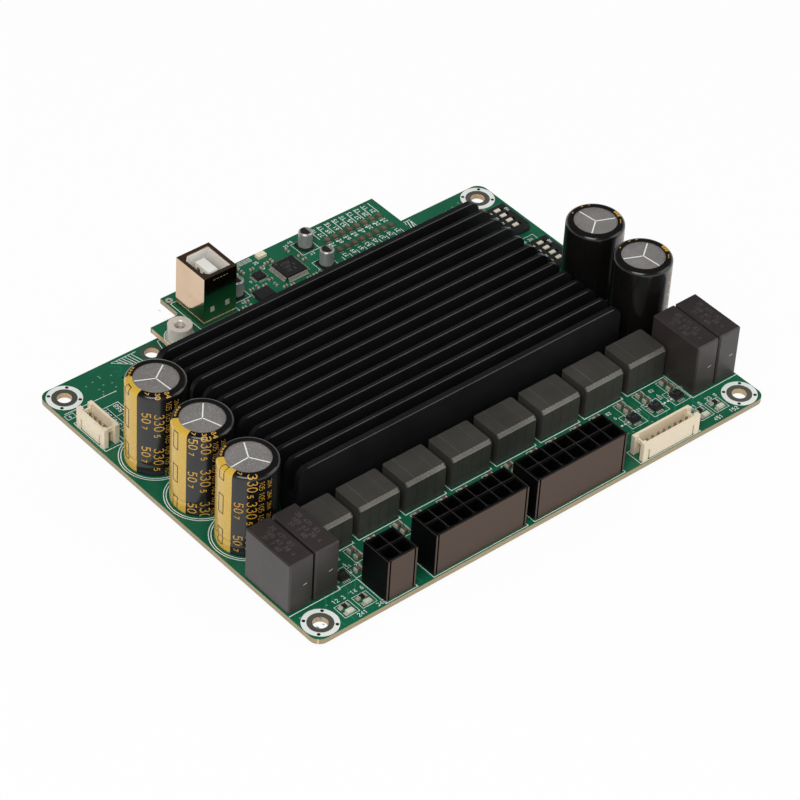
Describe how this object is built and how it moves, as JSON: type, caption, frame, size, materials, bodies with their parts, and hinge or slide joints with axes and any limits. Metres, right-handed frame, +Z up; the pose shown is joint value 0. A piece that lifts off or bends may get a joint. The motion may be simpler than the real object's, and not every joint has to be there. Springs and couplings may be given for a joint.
{
  "type": "multichannel amplifier",
  "caption": "Green multichannel power amplifier board with a black finned heatsink, tall capacitors, moulded inductors, plug headers and a raised USB board.",
  "frame": {"origin": "centre of the rectangle of the four corner holes, on the underside of the main board", "axes": "+X along the long edge of the board, +Y from the plug headers towards the raised board, +Z up out of the component side"},
  "size_m": [0.1522, 0.1227, 0.0297],
  "materials": {
    "board_green": "glossy",
    "heatsink_black": "black anodised",
    "steel_bright": "bright",
    "chip_black": "matt",
    "pad_grey": "matt",
    "sleeve_black": "glossy",
    "can_silver": "satin",
    "lead_tin": "bright",
    "film_grey": "matt",
    "inductor_grey": "matt",
    "header_black": "matt",
    "pin_gold": "bright",
    "header_white": "satin",
    "socket_steel": "bright",
    "switch_black": "matt",
    "slider_cream": "satin",
    "chip_brown": "satin",
    "led_clear": "clear"
  },
  "bodies": {
    "amplifier": {"main_board": "board_green", "upper_board": "board_green", "heatsink": "heatsink_black", "heatsink_screws": "steel_bright", "power_chips": "chip_black", "thermal_pads": "pad_grey", "capacitor_sleeves": "sleeve_black", "capacitor_cans": "can_silver", "capacitor_leads": "lead_tin", "film_capacitor_leads": "lead_tin", "film_capacitor_1": "film_grey", "film_capacitor_2": "film_grey", "film_capacitor_3": "film_grey", "film_capacitor_4": "film_grey", "inductor_terminals": "lead_tin", "supply_header": "header_black", "output_header_1": "header_black", "output_header_2": "header_black", "power_header_pins": "pin_gold", "front_signal_header": "header_white", "left_signal_header": "header_white", "signal_header_pins": "lead_tin", "usb_shell": "socket_steel", "usb_insert": "header_white", "usb_contacts": "pin_gold", "switch_body_1": "switch_black", "switch_body_2": "switch_black", "switch_leads": "lead_tin", "round_spacer": "steel_bright", "link_screw": "steel_bright", "link_spacer": "steel_bright", "link_socket": "header_black", "link_plug": "header_black", "processor_chip": "chip_black", "upper_board_chips": "chip_black", "driver_chips": "chip_black", "filter_chip_capacitors": "chip_brown", "upper_chip_capacitors": "chip_brown", "small_capacitor_cans": "can_silver", "small_capacitor_bases": "switch_black", "indicator_leds": "led_clear", "chip_resistors": "chip_black", "inductor_1": "inductor_grey", "inductor_2": "inductor_grey", "inductor_3": "inductor_grey", "inductor_4": "inductor_grey", "inductor_5": "inductor_grey", "inductor_6": "inductor_grey", "inductor_7": "inductor_grey", "inductor_8": "inductor_grey"},
    "slider_1": {"switch_slider_1": "slider_cream"},
    "slider_2": {"switch_slider_2": "slider_cream"},
    "slider_3": {"switch_slider_3": "slider_cream"},
    "slider_4": {"switch_slider_4": "slider_cream"},
    "slider_5": {"switch_slider_5": "slider_cream"},
    "slider_6": {"switch_slider_6": "slider_cream"},
    "slider_7": {"switch_slider_7": "slider_cream"},
    "slider_8": {"switch_slider_8": "slider_cream"}
  },
  "joints": [
    {"name": "switch_1_way_1_slide", "type": "slide", "parent": "amplifier", "child": "slider_1", "axis": [1, 0, 0], "range_m": [0, 0.001]},
    {"name": "switch_1_way_2_slide", "type": "slide", "parent": "amplifier", "child": "slider_2", "axis": [1, 0, 0], "range_m": [0, 0.001]},
    {"name": "switch_1_way_3_slide", "type": "slide", "parent": "amplifier", "child": "slider_3", "axis": [1, 0, 0], "range_m": [0, 0.001]},
    {"name": "switch_1_way_4_slide", "type": "slide", "parent": "amplifier", "child": "slider_4", "axis": [1, 0, 0], "range_m": [0, 0.001]},
    {"name": "switch_2_way_1_slide", "type": "slide", "parent": "amplifier", "child": "slider_5", "axis": [1, 0, 0], "range_m": [0, 0.001]},
    {"name": "switch_2_way_2_slide", "type": "slide", "parent": "amplifier", "child": "slider_6", "axis": [1, 0, 0], "range_m": [0, 0.001]},
    {"name": "switch_2_way_3_slide", "type": "slide", "parent": "amplifier", "child": "slider_7", "axis": [1, 0, 0], "range_m": [0, 0.001]},
    {"name": "switch_2_way_4_slide", "type": "slide", "parent": "amplifier", "child": "slider_8", "axis": [1, 0, 0], "range_m": [0, 0.001]}
  ]
}
